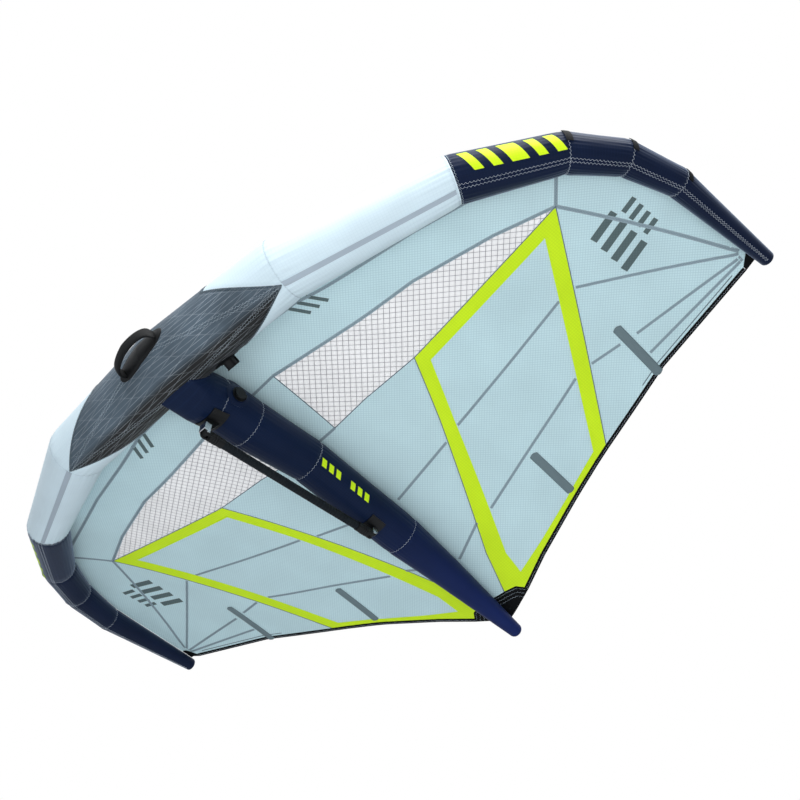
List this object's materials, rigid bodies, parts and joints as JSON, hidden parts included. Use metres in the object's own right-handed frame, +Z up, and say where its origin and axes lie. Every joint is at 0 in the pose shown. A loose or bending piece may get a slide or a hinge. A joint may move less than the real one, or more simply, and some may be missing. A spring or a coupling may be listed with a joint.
{
  "type": "wingfoil wing",
  "caption": "inflatable hand-held wing: kinked tube leading edge, centre strut, panelled cloth canopy with windows, front handle, rigid boom on latched saddles, air valves",
  "frame": {"origin": "middle of the boom's grip, on the boom's axis", "axes": "+X along the span towards the side with the valves, +Y from the leading edge to the trailing edge, +Z up from the strut to the canopy"},
  "size_m": [2.9438, 1.7821, 0.5634],
  "materials": {
    "dark_ripstop": "matte",
    "white_cloth": "matte",
    "navy_cloth": "satin",
    "bladder_film": "satin",
    "canopy_cloth": "satin",
    "window_film": "gloss",
    "lime_cloth": "satin",
    "black_webbing": "matte",
    "batten_cloth": "matte",
    "moulded_black": "matte",
    "grip_foam": "matte",
    "boom_alloy": "anodised",
    "steel": "brushed"
  },
  "bodies": {
    "wing": {"batten_inner_left": "batten_cloth", "batten_inner_right": "batten_cloth", "batten_outer_left": "batten_cloth", "batten_outer_right": "batten_cloth", "boom_bracket_front": "moulded_black", "boom_bracket_rear": "moulded_black", "boom_end_front": "moulded_black", "boom_end_rear": "moulded_black", "boom_grip_sleeve": "grip_foam", "boom_pin_front": "steel", "boom_pin_rear": "steel", "boom_tube": "boom_alloy", "front_panel_left": "canopy_cloth", "front_panel_right": "canopy_cloth", "handle_base": "moulded_black", "handle_grip": "moulded_black", "inner_panel_left": "canopy_cloth", "inner_panel_right": "canopy_cloth", "leading_edge_bladder": "bladder_film", "leading_edge_centre": "dark_ripstop", "leading_edge_tip_1_left": "navy_cloth", "leading_edge_tip_1_right": "navy_cloth", "leading_edge_tip_2_left": "navy_cloth", "leading_edge_tip_2_right": "navy_cloth", "leading_edge_tip_3_left": "navy_cloth", "leading_edge_tip_3_right": "navy_cloth", "leading_edge_tip_4_left": "navy_cloth", "leading_edge_tip_4_right": "navy_cloth", "leading_edge_valve_body": "moulded_black", "leading_edge_white_left": "white_cloth", "leading_edge_white_right": "white_cloth", "load_frame_left": "lime_cloth", "load_frame_right": "lime_cloth", "nose_strip_left": "canopy_cloth", "nose_strip_right": "canopy_cloth", "rear_patch_left": "black_webbing", "rear_patch_right": "black_webbing", "strut_bladder": "bladder_film", "strut_front": "navy_cloth", "strut_mid_front": "navy_cloth", "strut_mid_rear": "navy_cloth", "strut_panel_left": "canopy_cloth", "strut_panel_right": "canopy_cloth", "strut_tail": "navy_cloth", "strut_valve_body": "moulded_black", "strut_web": "navy_cloth", "tip_panel_left": "canopy_cloth", "tip_panel_right": "canopy_cloth", "tip_patch_left": "black_webbing", "tip_patch_right": "black_webbing", "trailing_webbing_left": "black_webbing", "trailing_webbing_right": "black_webbing", "window_left": "window_film", "window_right": "window_film"},
    "front_latch": {"boom_latch_front": "steel"},
    "rear_latch": {"boom_latch_rear": "steel"},
    "leading_edge_core": {"leading_edge_valve_core": "moulded_black"},
    "leading_edge_cap": {"leading_edge_valve_cap": "moulded_black"},
    "strut_core": {"strut_valve_core": "moulded_black"},
    "strut_cap": {"strut_valve_cap": "moulded_black"}
  },
  "joints": [
    {"name": "front_latch_hinge", "type": "hinge", "parent": "wing", "child": "front_latch", "pos_m": [0, -0.34659, -0.03643], "axis": [1, 0, 0], "range_deg": [0, 100]},
    {"name": "rear_latch_hinge", "type": "hinge", "parent": "wing", "child": "rear_latch", "pos_m": [0, 0.34659, 0.03643], "axis": [-1, 0, 0], "range_deg": [0, 100]},
    {"name": "leading_edge_core_turn", "type": "hinge", "parent": "wing", "child": "leading_edge_core", "pos_m": [0.16519, -0.40692, 0.10151], "axis": [-0.0122, 0.9333, -0.3589], "range_deg": [0, 90]},
    {"name": "leading_edge_cap_hinge", "type": "hinge", "parent": "wing", "child": "leading_edge_cap", "pos_m": [0.18786, -0.3981, 0.09928], "axis": [0.0476, -0.358, -0.9325], "range_deg": [0, 120]},
    {"name": "strut_core_turn", "type": "hinge", "parent": "wing", "child": "strut_core", "pos_m": [0.08534, -0.30993, 0.11246], "axis": [0.9877, 0.0259, -0.1544], "range_deg": [0, 90]},
    {"name": "strut_cap_hinge", "type": "hinge", "parent": "wing", "child": "strut_cap", "pos_m": [0.09353, -0.28693, 0.11206], "axis": [0.1553, -0.0382, 0.9871], "range_deg": [0, 120]}
  ]
}
